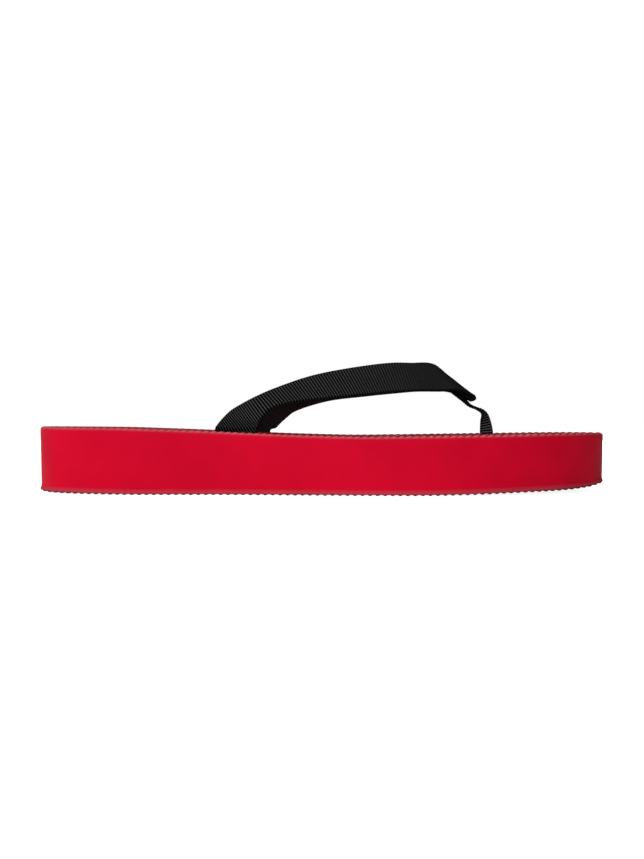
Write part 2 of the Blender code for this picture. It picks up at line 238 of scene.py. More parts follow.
# Mesh fineness
CURVE_SAMPLES = 300
END_LENGTH = 8.0
END_ROWS = 20
FINE_STEP = 0.1
RIB_ROWS = 7
STRAP_ACROSS = 14
POST_ACROSS = 6
SELVEDGE_STEPS = 5
ROUND_RINGS = 8
SIDE_RINGS = 3
WALL_RINGS = 5
FOOTBED_FINENESS = 0.72
MERGE_DISTANCE = 1e-7
SHARP_ANGLE = math.radians(50.0)

# Edge of the sole from above: name, share of the length, share of the ball width (outer is negative)
OUTLINE = (
    ("heel back", 0.000, 0.000),
    ("heel outer turn", 0.036, -0.250),
    ("heel outer side", 0.135, -0.368),
    ("waist outer side", 0.345, -0.388),
    ("ball outer side", 0.628, -0.488),
    ("little toe", 0.795, -0.448),
    ("outer toes", 0.922, -0.262),
    ("toe tip", 0.998, 0.070),
    ("big toe", 0.968, 0.318),
    ("big toe side", 0.868, 0.462),
    ("ball inner side", 0.715, 0.512),
    ("waist inner side", 0.425, 0.376),
    ("heel inner side", 0.135, 0.362),
    ("heel inner turn", 0.036, 0.250),
)

# Side of the sole: distance from the heel, height of its underside, height of its top
SIDE = (
    (0.0, 0.95, 29.1),
    (7.0, 0.65, 29.0),
    (18.0, 0.40, 28.9),
    (36.0, 0.14, 28.7),
    (52.0, 0.00, 28.2),
    (72.0, 0.00, 27.5),
    (95.0, 0.00, 26.5),
    (118.0, 0.00, 25.6),
    (145.0, 0.00, 25.0),
    (166.0, 0.00, 25.2),
    (188.0, 0.36, 25.5),
    (208.0, 1.02, 25.8),
    (232.0, 1.75, 26.2),
    (245.0, 2.50, 26.3),
    (255.0, 4.00, 26.3),
)

# Free runs of the strap: distance from the heel, place across and height of its rear, then front edge
OUTER_ARM = (
    (85.7, -20.5, 35.6, 99.5, -29.2, 29.7),
    (91.4, -14.7, 39.4, 100.4, -28.5, 32.1),
    (98.4, -11.7, 43.0, 104.5, -27.5, 36.8),
    (105.5, -10.7, 46.1, 111.4, -26.4, 39.3),
    (121.6, -9.0, 51.8, 128.4, -22.3, 41.6),
    (139.5, -5.2, 55.6, 145.7, -16.9, 43.3),
    (157.8, 1.1, 58.1, 162.1, -10.7, 44.9),
    (166.6, 4.6, 58.2, 169.9, -8.1, 45.2),
)
INNER_ARM = (
    (89.1, 22.8, 34.6, 105.5, 28.0, 29.0),
    (94.1, 18.8, 38.4, 107.3, 28.1, 30.9),
    (100.1, 15.8, 42.2, 110.2, 28.2, 33.6),
    (106.1, 14.2, 45.2, 113.8, 28.3, 36.4),
    (123.1, 14.9, 51.8, 129.4, 28.0, 41.3),
    (140.1, 16.2, 55.8, 146.6, 27.9, 43.4),
    (158.1, 15.2, 58.3, 162.6, 27.2, 45.0),
    (166.6, 12.9, 58.4, 170.6, 26.3, 45.7),
)

# Toe post after it leaves the fold: distance from the heel, height, turn of its width towards the toe
POST_RUN = (
    (194.4, 39.0, 0.0),
    (197.6, 37.6, 4.0),
    (200.2, 36.2, 14.0),
    (201.2, 34.7, 28.0),
    (201.5, 33.0, 42.0),
    (201.8, 30.4, 60.0),
)


def hex_colour(code):
    """Linear colour of an sRGB hex value."""
    shares = [int(code[i:i + 2], 16) / 255.0 for i in (1, 3, 5)]
    return [s / 12.92 if s <= 0.04045 else ((s + 0.055) / 1.055) ** 2.4 for s in shares]


class SoleSettings(bpy.types.PropertyGroup):
    """Sizes and colours of the sole's three layers."""
    foam_colour: bpy.props.FloatVectorProperty(
        name="Foam", description="Colour of the thick foam layer",
        subtype="COLOR", size=3, min=0.0, max=1.0, default=hex_colour("#C80829"))
    outsole_colour: bpy.props.FloatVectorProperty(
        name="Outsole", description="Colour of the thin treaded sheet",
        subtype="COLOR", size=3, min=0.0, max=1.0, default=hex_colour("#B03A46"))
    # Painted shade: the teeth along the edge are coloured dark to stand in for the shadow under the sole
    tread_shade_colour: bpy.props.FloatVectorProperty(
        name="Tread", description="Darker colour of the tread's teeth, where they are scuffed",
        subtype="COLOR", size=3, min=0.0, max=1.0, default=hex_colour("#6E1C26"))
    # Painted highlight: this pale colour is reached only on the rib crests of the footbed's rim, as a
    # painted sheen
    rim_highlight_colour: bpy.props.FloatVectorProperty(
        name="Footbed Crests", description="Colour of the footbed's raised ribs",
        subtype="COLOR", size=3, min=0.0, max=1.0, default=hex_colour("#C07078"))
    # Painted shade: the grooves between the footbed's ribs, and the foam drawn in beside the slots, are
    # coloured darker
    footbed_groove_shade: bpy.props.FloatVectorProperty(
        name="Footbed Grooves", description="Colour of the grooves between the footbed's ribs",
        subtype="COLOR", size=3, min=0.0, max=1.0, default=hex_colour("#7C1422"))
    tread_pitch: bpy.props.FloatProperty(
        name="Tread Pitch", description="Distance between the cross ribs of the tread",
        unit="LENGTH", default=3.2 * MM)
    tread_depth: bpy.props.FloatProperty(
        name="Tread Depth", description="Depth of the grooves between the cross ribs",
        unit="LENGTH", default=0.55 * MM)
    rib_pitch: bpy.props.FloatProperty(
        name="Footbed Rib Pitch", description="Distance along the shoe between the footbed's cross ribs",
        unit="LENGTH", default=3.15 * MM)
    rib_height: bpy.props.FloatProperty(
        name="Footbed Rib Height", description="Height of the footbed's cross ribs",
        unit="LENGTH", default=0.45 * MM)
    mesh_step: bpy.props.FloatProperty(
        name="Mesh Step", description="Distance between the rows of the sole's meshes",
        unit="LENGTH", default=0.45 * MM)


class WebbingSettings(bpy.types.PropertyGroup):
    """Sizes and colour of the strap and the toe post."""
    strap_width: bpy.props.FloatProperty(
        name="Strap Width", description="Width of the strap between its selvedges",
        unit="LENGTH", default=18.0 * MM)
    strap_thickness: bpy.props.FloatProperty(
        name="Strap Thickness", description="Thickness of the strap over its ribs",
        unit="LENGTH", default=1.5 * MM)
    post_width: bpy.props.FloatProperty(
        name="Post Width", description="Width of the toe post's tape",
        unit="LENGTH", default=6.3 * MM)
    post_thickness: bpy.props.FloatProperty(
        name="Post Thickness", description="Thickness of the toe post's tape over its ribs",
        unit="LENGTH", default=1.4 * MM)
    strap_rib: bpy.props.FloatProperty(
        name="Strap Rib", description="Distance between the strap's cross ribs",
        unit="LENGTH", default=1.3 * MM)
    post_rib: bpy.props.FloatProperty(
        name="Post Rib", description="Distance between the toe post's cross ribs",
        unit="LENGTH", default=1.2 * MM)
    rib_depth: bpy.props.FloatProperty(
        name="Rib Depth", description="Depth of the grooves between the ribs",
        unit="LENGTH", default=0.42 * MM)
    yarn_colour: bpy.props.FloatVectorProperty(
        name="Yarn", description="Colour of the dyed yarn",
        subtype="COLOR", size=3, min=0.0, max=1.0, default=hex_colour("#5C5C5E"))


class StageSettings(bpy.types.PropertyGroup):
    """Camera and floor."""
    camera_distance: bpy.props.FloatProperty(
        name="Camera Distance", description="Distance of the camera from the shoe's axis",
        unit="LENGTH", default=0.700)
    camera_height: bpy.props.FloatProperty(
        name="Camera Height", description="Height of the camera over the floor",
        unit="LENGTH", default=0.03345)
    focal_length: bpy.props.FloatProperty(
        name="Focal Length", description="Lens of the camera",
        unit="CAMERA", default=64.8)
    floor_colour: bpy.props.FloatVectorProperty(
        name="Floor", description="Colour of the pale floor",
        subtype="COLOR", size=3, min=0.0, max=1.0, default=hex_colour("#F4F4F4"))


def between(t, span, first, last, first_slope, last_slope):
    """Smooth cubic from first to last over a span, with the given slopes at its ends."""
    place = (1 + 2 * t) * (1 - t) ** 2 * first + t * t * (3 - 2 * t) * last
    lean = t * (1 - t) ** 2 * first_slope + t * t * (t - 1) * last_slope
    return place + span * lean


def through(rows, step):
    """Carry a smooth curve through rows of points, with a new row about every step."""
    rows = np.asarray(rows, dtype=float)
    gaps = np.linalg.norm(np.diff(rows, axis=0), axis=2).mean(axis=1)
    knots = np.concatenate([[0.0], np.cumsum(np.sqrt(gaps))])
    spans = np.diff(knots)[:, None, None]
    chords = np.diff(rows, axis=0) / spans
    slopes = np.empty_like(rows)
    slopes[1:-1] = (chords[:-1] * spans[1:] + chords[1:] * spans[:-1]) / (spans[:-1] + spans[1:])
    slopes[0] = chords[0]
    slopes[-1] = chords[-1]
    smooth = [rows[0]]
    marks = [0]
    for i, gap in enumerate(gaps):
        count = max(1, round(gap / step))
        for k in range(1, count + 1):
            smooth.append(between(k / count, spans[i], rows[i], rows[i + 1], slopes[i], slopes[i + 1]))
        marks.append(len(smooth) - 1)
    return np.array(smooth), marks


def along_side(column, x):
    """Heights of the sole at x from the side table, with no overshoot between its rows."""
    table = np.array(SIDE)
    xs = table[:, 0]
    zs = table[:, column]
    steps = np.diff(xs)
    chords = np.diff(zs) / steps
    slopes = np.zeros_like(zs)
    for i in range(1, len(xs) - 1):
        if chords[i - 1] * chords[i] > 0.0:
            slopes[i] = 2.0 / (1.0 / chords[i - 1] + 1.0 / chords[i])
    slopes[0] = chords[0]
    slopes[-1] = chords[-1]
    i = np.clip(np.searchsorted(xs, x) - 1, 0, len(steps) - 1)
    t = np.clip((x - xs[i]) / steps[i], 0.0, 1.0)
    return between(t, steps[i], zs[i], zs[i + 1], slopes[i], slopes[i + 1])


def underside(x):
    """Heights of the sole's underside."""
    return along_side(1, x)


def top(x):
    """Heights of the footbed's top."""
    return along_side(2, x)


def outline_curve():
    """Closed curve of the sole's edge, scaled to the shoe's length and ball width."""
    size = np.array([SHOE_LENGTH, BALL_WIDTH])
    places = np.array([(x, y) for _, x, y in OUTLINE]) * size
    wrapped = np.concatenate([places[-2:], places, places[:3]])
    rounds = through(wrapped[:, None, :], BALL_WIDTH / CURVE_SAMPLES)[0][:, 0, :]
    first = int(np.argmin(np.linalg.norm(rounds - places[0], axis=1)))
    beyond = rounds[first + CURVE_SAMPLES:]
    last = int(np.argmin(np.linalg.norm(beyond - rounds[first], axis=1))) + first + CURVE_SAMPLES
    curve = rounds[first:last]
    low = curve.min(axis=0)
    high = curve.max(axis=0)
    return (curve - low) / (high - low) * size + [0.0, low[1]]


def sole_edges():
    """The outer and the inner edge of the sole, each from heel to toe."""
    curve = outline_curve()
    curve = np.roll(curve, -int(np.argmin(curve[:, 0])), axis=0)
    toe = int(np.argmax(curve[:, 0]))
    outer = curve[:toe + 1]
    inner = np.concatenate([curve[toe:], curve[:1]])[::-1]
    return outer, inner


OUTER_EDGE, INNER_EDGE = sole_edges()
ORIGIN = np.array([SHOE_LENGTH / 2, (OUTER_EDGE[:, 1].min() + INNER_EDGE[:, 1].max()) / 2, 0.0])


def edge_y(edge, x):
    """Place across the shoe of one edge at x."""
    return np.interp(x, edge[:, 0], edge[:, 1])


def stations(step):
    """Places of the rows along the sole, closer together at the round ends."""
    bow = END_LENGTH * (np.arange(END_ROWS) / END_ROWS) ** 2
    middle = np.linspace(END_LENGTH, SHOE_LENGTH - END_LENGTH, round((SHOE_LENGTH - 2 * END_LENGTH) / step))
    return np.concatenate([bow, middle, SHOE_LENGTH - bow[::-1]])


def edge_run(edge, side, xs):
    """Points of one edge at the stations, and their outward directions."""
    points = np.stack([xs, edge_y(edge, xs)], axis=1)
    run = np.gradient(points, axis=0)
    run[0] = (0.0, side)
    run[-1] = (0.0, -side)
    outward = side * np.stack([-run[:, 1], run[:, 0]], axis=1)
    return points, outward / np.linalg.norm(outward, axis=1)[:, None]


def mapped_grid(places, notes=None):
    """Grid of vertices, each moved to its place by its row and column, with its notes kept beside it."""
    rows, columns = places.shape[:2]
    bm = bmesh.new()
    pattern = bm.verts.layers.float_vector.new("pattern")
    bmesh.ops.create_grid(bm, x_segments=rows - 1, y_segments=columns - 1, size=1.0)
    for vert in bm.verts:
        row = round((vert.co.x + 1.0) / 2.0 * (rows - 1))
        column = round((vert.co.y + 1.0) / 2.0 * (columns - 1))
        vert.co = (places[row, column] - ORIGIN) * MM
        if notes is not None:
            vert[pattern] = notes[row, column]
    bmesh.ops.remove_doubles(bm, verts=bm.verts, dist=MERGE_DISTANCE)
    return bm


def finish_piece(name, bm, material, node):
    """Make a piece of a closed bmesh, dress it and let it stand for its node of the frame."""
    bmesh.ops.recalc_face_normals(bm, faces=bm.faces)
    mesh = bpy.data.meshes.new(name)
    bm.to_mesh(mesh)
    bm.free()
    mesh.shade_smooth()
    mesh.set_sharp_from_angle(angle=SHARP_ANGLE)
    mesh.materials.append(material)
    piece = bpy.data.objects.new(name, mesh)
    bpy.context.scene.collection.objects.link(piece)
    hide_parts(node)
    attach(piece, BODY)
    return piece


def sole_sections(xs, half_section, across):
    """Closed section of the sole at every station.

    The half section lists outward shifts and heights from the bottom edge up to the top edge. The top is
    then crossed in the given number of steps, and the other half comes down again.
    """
    outer, outer_out = edge_run(OUTER_EDGE, -1, xs)
    inner, inner_out = edge_run(INNER_EDGE, 1, xs)
    up = []
    down = []
    for shift, heights in half_section:
        up.append(np.column_stack([outer + outer_out * shift, heights]))
        down.append(np.column_stack([inner + inner_out * shift, heights]))
    shares = np.linspace(0.0, 1.0, across + 1)[1:-1]
    crossing = [up[-1] * (1.0 - share) + down[-1] * share for share in shares]
    return np.stack(up + crossing + down[::-1] + up[:1], axis=1)


def raise_along(sections, xs, leans, lift):
    """Raise the top of sole sections; the leans say how far each column of the edge goes out and up."""
    outer_out = edge_run(OUTER_EDGE, -1, xs)[1]
    inner_out = edge_run(INNER_EDGE, 1, xs)[1]
    count = len(leans)
    for i, (out, up) in enumerate(leans):
        for column, outward in ((i, outer_out), (-2 - i, inner_out)):
            sections[:, column, :2] += outward * (out * lift[:, column])[:, None]
            sections[:, column, 2] += up * lift[:, column]
    middle = slice(count, -1 - count)
    sections[:, middle, 2] += lift[:, middle]
    sections[:, -1] = sections[:, 0]


def tread_grooves(xs, pitch, depth):
    """Rise of the underside between the narrow cross ribs of the tread."""
    crest = (0.5 + 0.5 * np.cos(2.0 * math.pi * xs / pitch)) ** 2
    return depth * (1.0 - crest)


def footbed_ribs(x, y, pitch):
    """Share of the full height, from 0 to 1, of the ribs that cross the footbed."""
    slant = math.radians(FOOTBED_RIB_SLANT)
    turns = (x - y / math.tan(slant)) / pitch
    return (0.5 + 0.5 * np.cos(2.0 * math.pi * turns)) ** FOOTBED_RIB_CREST


def footbed_edge(high):
    """Round edge of the footbed, from its joint up to its flat top.

    For each ring it gives the fall below the top, the outward shift and height, how far a rib leans out and
    up there, and a triple: how much of a rib stands there, how much of the painted rim highlight it takes,
    and the tone between the ribs, which paints an even pale sheen near the top.
    """
    straight = np.linspace(FOOTBED_THICKNESS + JOINT_LAP, FOOTBED_ROUND_DOWN, SIDE_RINGS)[:-1]
    turns = np.linspace(0.0, math.pi / 2, ROUND_RINGS)
    falls = np.concatenate([straight, FOOTBED_ROUND_DOWN * (1.0 - np.sin(turns))])
    turns = np.concatenate([np.zeros_like(straight), turns])
    half = []
    leans = []
    highlight_rings = []
    for turn, fall in zip(turns, falls):
        half.append((-FOOTBED_ROUND_IN * (1.0 - math.cos(turn)), high - fall))
        rise = np.clip((turn - RIB_START) / (RIB_FULL - RIB_START), 0.0, 1.0)
        leans.append((rise * math.cos(turn), rise * math.sin(turn)))
        highlit = np.clip((math.pi / 2 - turn) / (math.pi / 2 - RIM_HIGHLIGHT_END), 0.0, 1.0)
        even = RIM_HIGHLIGHT_EVEN * np.clip(1.0 - fall / RIM_HIGHLIGHT_REACH, 0.0, 1.0) ** 2
        highlight_rings.append((rise, highlit, WALL_TONE + (1.0 - WALL_TONE) * even))
    return falls, half, leans, highlight_rings


def footbed_tones(xs, ribs, pinch, highlight_rings):
    """Tones over the footbed: grooves darkened as painted shade, also beside the slots, plain crests, and a
    pale painted highlight along its rim.
    """
    # Painted shade: grooves take the dark groove colour, and so does the foam drawn in beside each slot
    tones = INSIDE_TONE * ribs * (1.0 - pinch)
    clear = np.interp(xs, *zip(*RIBS_IN_RIM_HIGHLIGHT))
    # Painted highlight on the rim: pale crests and an even pale sheen that stand in for light on the round
    # edge
    for i, (rise, highlit, even) in enumerate(highlight_rings):
        for column in (i, -2 - i):
            rim = RIM_HIGHLIGHT_GROOVE + (1.0 - RIM_HIGHLIGHT_GROOVE) * ribs[:, column]
            rim = RIM_HIGHLIGHT_LEVEL * (1.0 - clear) + rim * clear
            tone = rim * highlit + INSIDE_TONE * ribs[:, column] * (1.0 - highlit)
            tones[:, column] = even * (1.0 - rise) + tone * rise
    tones[:, -1] = tones[:, 0]
    return tones


def slot_pinch(x, y, post_half):
    """Share, from 0 to 1, by which the footbed is drawn in beside each slot."""
    rear, front = slot_ends(OUTER_SLOT, OUTER_EDGE, -1)
    inner_rear, inner_front = slot_ends(INNER_SLOT, INNER_EDGE, 1)
    turn = math.radians(POST_SLOT_TURN)
    post = np.array(POST_SLOT)
    reach = np.array([math.sin(turn), math.cos(turn)]) * post_half
    pinch = np.zeros_like(x)
    for start, end in ((rear, front), (inner_rear, inner_front), (post - reach, post + reach)):
        run = end[:2] - start[:2]
        share = ((x - start[0]) * run[0] + (y - start[1]) * run[1]) / (run @ run)
        share = np.clip(share, 0.0, 1.0)
        gap = np.hypot(x - start[0] - share * run[0], y - start[1] - share * run[1])
        near = np.clip(1.0 - gap / SLOT_PINCH_REACH, 0.0, 1.0)
        pinch = np.maximum(pinch, near * near * (3.0 - 2.0 * near))
    return pinch


def straight_row(start, end, shares):
    """Points at the given shares of the way from start to end."""
    return np.asarray(start) * (1.0 - shares[:, None]) + np.asarray(end) * shares[:, None]


def edge_shares(width, thickness, count):
    """Even shares across a webbing, short of its round selvedges."""
    selvedge = thickness / 2.0 / width
    return np.linspace(selvedge, 1.0 - selvedge, count + 1)


def fold_frame():
    """Axes of the fold: down its slope to the toe, across to the inner side, and up from it."""
    slope = math.radians(FOLD_SLOPE)
    yaw = math.radians(FOLD_YAW)
    down = np.array([math.cos(slope) * math.cos(yaw), math.cos(slope) * math.sin(yaw), -math.sin(slope)])
    across = np.array([-math.sin(yaw), math.cos(yaw), 0.0])
    return down, across, np.cross(down, across)


def crossing_point(a, b, lift):
    """Point on the arched crossing of the two arms, lift away from its middle layer."""
    down, across, up = fold_frame()
    brim_drop = OUTER_BRIM_DROP if b < 0.0 else INNER_BRIM_DROP
    drop = brim_drop / BRIM_SPREAD ** 2 * (abs(a) / BRIM_REACH) ** BRIM_GROWTH
    fall_along = BRIM_GROWTH * drop / a * b * b if a else 0.0
    normal = up + fall_along * down + 2.0 * drop * b * across
    normal /= np.linalg.norm(normal)
    return np.array(FOLD_CENTRE) + a * down + b * across - drop * b * b * up + lift * normal


def crossing_rows(side, half_fold, shares):
    """Rows of one arm from the notch of the V down to the fold; side is -1 for the outer arm."""
    rows = []
    for share in np.linspace(0.0, 1.0, CROSSING_ROWS):
        rear = (-FOLD_OVERLAP * (1.0 - share), -side * half_fold * share)
        front = (-BRIM_REACH * (1.0 - share), side * (BRIM_SPREAD * (1.0 - share) + half_fold * share))
        places = straight_row(front, rear, shares)
        rows.append([crossing_point(a, b, -side * LAYER_SPACING / 2) for a, b in places])
    return np.array(rows)


def fold_rows(half_fold, shares):
    """Half turn of the webbing round the fold line, between the two layers."""
    down, across, up = fold_frame()
    line = straight_row(-half_fold * across, half_fold * across, shares)
    rows = []
    for k in range(1, FOLD_STEPS):
        angle = math.pi * k / FOLD_STEPS
        out = LAYER_SPACING / 2 * (math.sin(angle) * down + math.cos(angle) * up)
        rows.append(np.array(FOLD_CENTRE) + out + line)
    return np.array(rows)


def slot_ends(slot, edge, side):
    """Rear and front end of a slot, on the footbed's top."""
    return [np.array([x, edge_y(edge, x) - side * SLOT_INSET, top(x)]) for x in slot]


def arm_rows(slot, edge, side, table, half_fold, shares):
    """Rows of one arm from its tail to the fold, front edge first."""
    rear, front = slot_ends(slot, edge, side)
    lean = np.array([POCKET_RAKE, 0.0, POCKET_DEPTH])
    rises = (-1.0, 0.0, POCKET_RISE)
    rows = [straight_row(front + lean * rise, rear + lean * rise, shares) for rise in rises]
    rows += [straight_row(row[3:], row[:3], shares) for row in table]
    return np.concatenate([np.array(rows), crossing_rows(side, half_fold, shares)])


def strap_sheet(width, thickness, rib_gap):
    """Middle surface of the strap in rows along its ribs, their places along the cloth, and the shade."""
    shares = edge_shares(width, thickness, STRAP_ACROSS)
    half_fold = FOLD_OVERLAP * math.tan(math.asin(width / (2.0 * FOLD_OVERLAP)))
    outer = arm_rows(OUTER_SLOT, OUTER_EDGE, -1, OUTER_ARM, half_fold, shares)
    inner = arm_rows(INNER_SLOT, INNER_EDGE, 1, INNER_ARM, half_fold, shares)
    control = np.concatenate([outer, fold_rows(half_fold, shares), inner[::-1, ::-1]])
    sheet, marks = through(control, FINE_STEP)
    first, last = marks[TAIL_ROWS], marks[-1 - TAIL_ROWS]
    slots = marks[1], marks[-2]
    steps = np.linalg.norm(np.diff(sheet, axis=0), axis=2)
    steps[first:last] = steps[first:last].mean(axis=1, keepdims=True)
    along = np.concatenate([np.zeros((1, steps.shape[1])), np.cumsum(steps, axis=0)])
    along -= along[first]
    along[last:] += along[last].mean() - along[last]
    length = along[last].mean()
    ribs = np.arange(-TAIL_LENGTH, length + TAIL_LENGTH, rib_gap / RIB_ROWS)
    rows = np.empty((len(ribs), sheet.shape[1], 3))
    shade = np.empty(rows.shape[:2])
    for column in range(sheet.shape[1]):
        rise = np.minimum(ribs - along[slots[0], column], along[slots[1], column] - ribs)
        sunk = np.minimum(rise + TAIL_FREE, 0.0) * (1.0 - TAIL_SQUEEZE)
        places = ribs - np.where(ribs < length / 2.0, sunk, -sunk)
        for axis in range(3):
            rows[:, column, axis] = np.interp(places, along[:, column], sheet[:, column, axis])
        shade[:, column] = np.interp(rise, *zip(*SLOT_SHADE))
    return rows, ribs, shade


def post_sheet(width, thickness, rib_gap):
    """Middle surface of the toe post in rows along its ribs, their places, and the thickness at each."""
    shares = edge_shares(width, thickness, POST_ACROSS)
    rows = []
    thick = []
    for a in POST_UNDER_FOLD:
        places = straight_row((a, -width / 2), (a, width / 2), shares)
        rows.append([crossing_point(pa, pb, -POST_DROP) for pa, pb in places])
        thick.append(POST_DOUBLED)
    x, y = POST_SLOT
    run = list(POST_RUN)
    run.append((x, float(top(x)), POST_SLOT_TURN))
    run.append((x, float(top(x)) - POCKET_DEPTH, POST_SLOT_TURN))
    heading = np.gradient(np.array([(px, pz) for px, pz, _ in run]), axis=0)
    heading /= np.linalg.norm(heading, axis=1)[:, None]
    for (px, pz, turn), (hx, hz) in zip(run, heading):
        angle = math.radians(turn)
        reach = np.array([-hz * math.sin(angle), math.cos(angle), hx * math.sin(angle)]) * width / 2
        middle = np.array([px, y, pz])
        rows.append(straight_row(middle - reach, middle + reach, shares))
        thick.append(thickness)
    depth = np.array(thick)[:, None, None] * np.ones((1, len(shares), 1))
    sheet, _ = through(np.concatenate([np.array(rows), depth], axis=2), FINE_STEP)
    steps = np.linalg.norm(np.diff(sheet[:, :, :3], axis=0), axis=2).mean(axis=1)
    along = np.concatenate([[0.0], np.cumsum(steps)])
    ribs = np.arange(0.0, along[-1], rib_gap / RIB_ROWS)
    even = np.empty((len(ribs), sheet.shape[1], 4))
    for column in range(sheet.shape[1]):
        for axis in range(4):
            even[:, column, axis] = np.interp(ribs, along, sheet[:, column, axis])
    return even[:, :, :3], ribs, even[:, 0, 3]


def surface_normals(rows):
    """Unit normals of a sheet of rows of points."""
    normals = np.cross(np.gradient(rows, axis=0), np.gradient(rows, axis=1))
    return normals / np.linalg.norm(normals, axis=2)[:, :, None]


def rib_shape(count):
    """Share of the full height, from 0 to 1, of the round ribs; each groove falls on a row of the mesh."""
    share = (np.arange(count) % RIB_ROWS) / RIB_ROWS
    return np.sqrt(1.0 - (2.0 * share - 1.0) ** 2)


def rib_strength(ribs):
    """Strength of the ribs and even tone on the strap's two faces, which change sides at the fold."""
    middle = ribs.mean()
    distance = abs(ribs - middle)
    first_arm = ribs < middle
    outer = np.stack([np.interp(distance, *zip(*RIB_STRENGTH)), np.full_like(ribs, FLAT_TONE)])
    # The face towards the foot gets painted light: its even tone rises along the arms although that face
    # lies in shade
    inner = np.stack([np.full_like(ribs, FOOT_SIDE_STRENGTH), np.interp(distance, *zip(*FOOT_SIDE_PAINTED_LIGHT))])
    return np.where(first_arm, outer, inner), np.where(first_arm, inner, outer)


def webbing_mesh(rows, ribs, shade, thickness, rib_depth, sharpness, face, back):
    """Closed ribbed webbing about a sheet: both faces, the round selvedges and the ends."""
    half = np.broadcast_to(np.asarray(thickness, dtype=float), len(rows))[:, None] / 2.0
    shape = rib_shape(len(rows))
    normals = surface_normals(rows)
    width = np.linalg.norm(rows[:, -1] - rows[:, 0], axis=1).mean()
    count = rows.shape[1]
    reliefs = []
    tones = []
    # Crests take the full tone and grooves none: painted highlight on the crests and painted shade in the
    # grooves
    for strength, even in (face, back):
        kept = PRESSED_RELIEF + (1.0 - PRESSED_RELIEF) * strength
        reliefs.append((rib_depth * (shape - RIB_MEAN) * kept)[:, None])
        tones.append(even + strength * (shape ** sharpness - even))

    def flat(column, side):
        """Places, place across and tones along a column of the face, side 0, or of the back, side 1."""
        lift = (half + reliefs[side]) * (1 - 2 * side)
        places = rows[:, column] + normals[:, column] * lift
        return places, width * column / (count - 1), tones[side] * shade[:, column]

    def selvedge(end, beside, angle, across):
        """The same along a round selvedge, at an angle from the sheet to its face."""
        outward = rows[:, end] - rows[:, beside]
        outward /= np.linalg.norm(outward, axis=1)[:, None]
        direction = math.cos(angle) * outward + math.sin(angle) * normals[:, end]
        places = rows[:, end] + direction * (half + reliefs[0] * SELVEDGE_RIB)
        # A selvedge takes only part of the face's tone: painted shade along the edges
        return places, across, SELVEDGE_TONE * tones[0 if angle > 0.0 else 1] * shade[:, end]

    turns = np.radians(np.linspace(90.0, -90.0, SELVEDGE_STEPS + 1)[1:-1])
    loops = [flat(column, 0) for column in range(count)]
    loops += [selvedge(-1, -2, angle, width + half.mean()) for angle in turns]
    loops += [flat(column, 1) for column in reversed(range(count))]
    loops += [selvedge(0, 1, angle, -half.mean()) for angle in turns[::-1]]
    loops.append(loops[0])
    places, across, loop_tones = zip(*loops)
    sections = np.stack(places, axis=1)
    notes = np.zeros_like(sections)
    notes[:, :, 0] = ribs[:, None] * MM
    notes[:, :, 1] = np.array(across) * MM
    notes[:, :, 2] = np.stack(loop_tones, axis=1)
    bm = mapped_grid(sections, notes)
    open_edges = [edge for edge in bm.edges if edge.is_boundary]
    bmesh.ops.holes_fill(bm, edges=open_edges)
    return bm


def add_node(tree, kind, settings=(), links=()):
    """Add one node, with its settings and its links given as pairs of name and value."""
    node = tree.nodes.new(kind)
    for name, value in settings:
        if name == "ramp":
            elements = node.color_ramp.elements
            while len(elements) < len(value):
                elements.new(1.0)
            for element, (place, colour) in zip(elements, value):
                element.position = place
                element.color = (*colour, 1.0)
        elif isinstance(name, int) or name in node.inputs:
            node.inputs[name].default_value = value
        else:
            setattr(node, name, value)
    for name, socket in links:
        tree.links.new(socket, node.inputs[name])
    return node


def new_material(name):
    """Empty node material with its output, and the tree to fill."""
    material = bpy.data.materials.new(name)
    material.use_nodes = True
    material.node_tree.nodes.clear()
    output = material.node_tree.nodes.new("ShaderNodeOutputMaterial")
    return material, material.node_tree, output


def shaded(colour, factor):
    """A colour made darker or lighter by a factor."""
    return [min(1.0, channel * factor) for channel in colour]


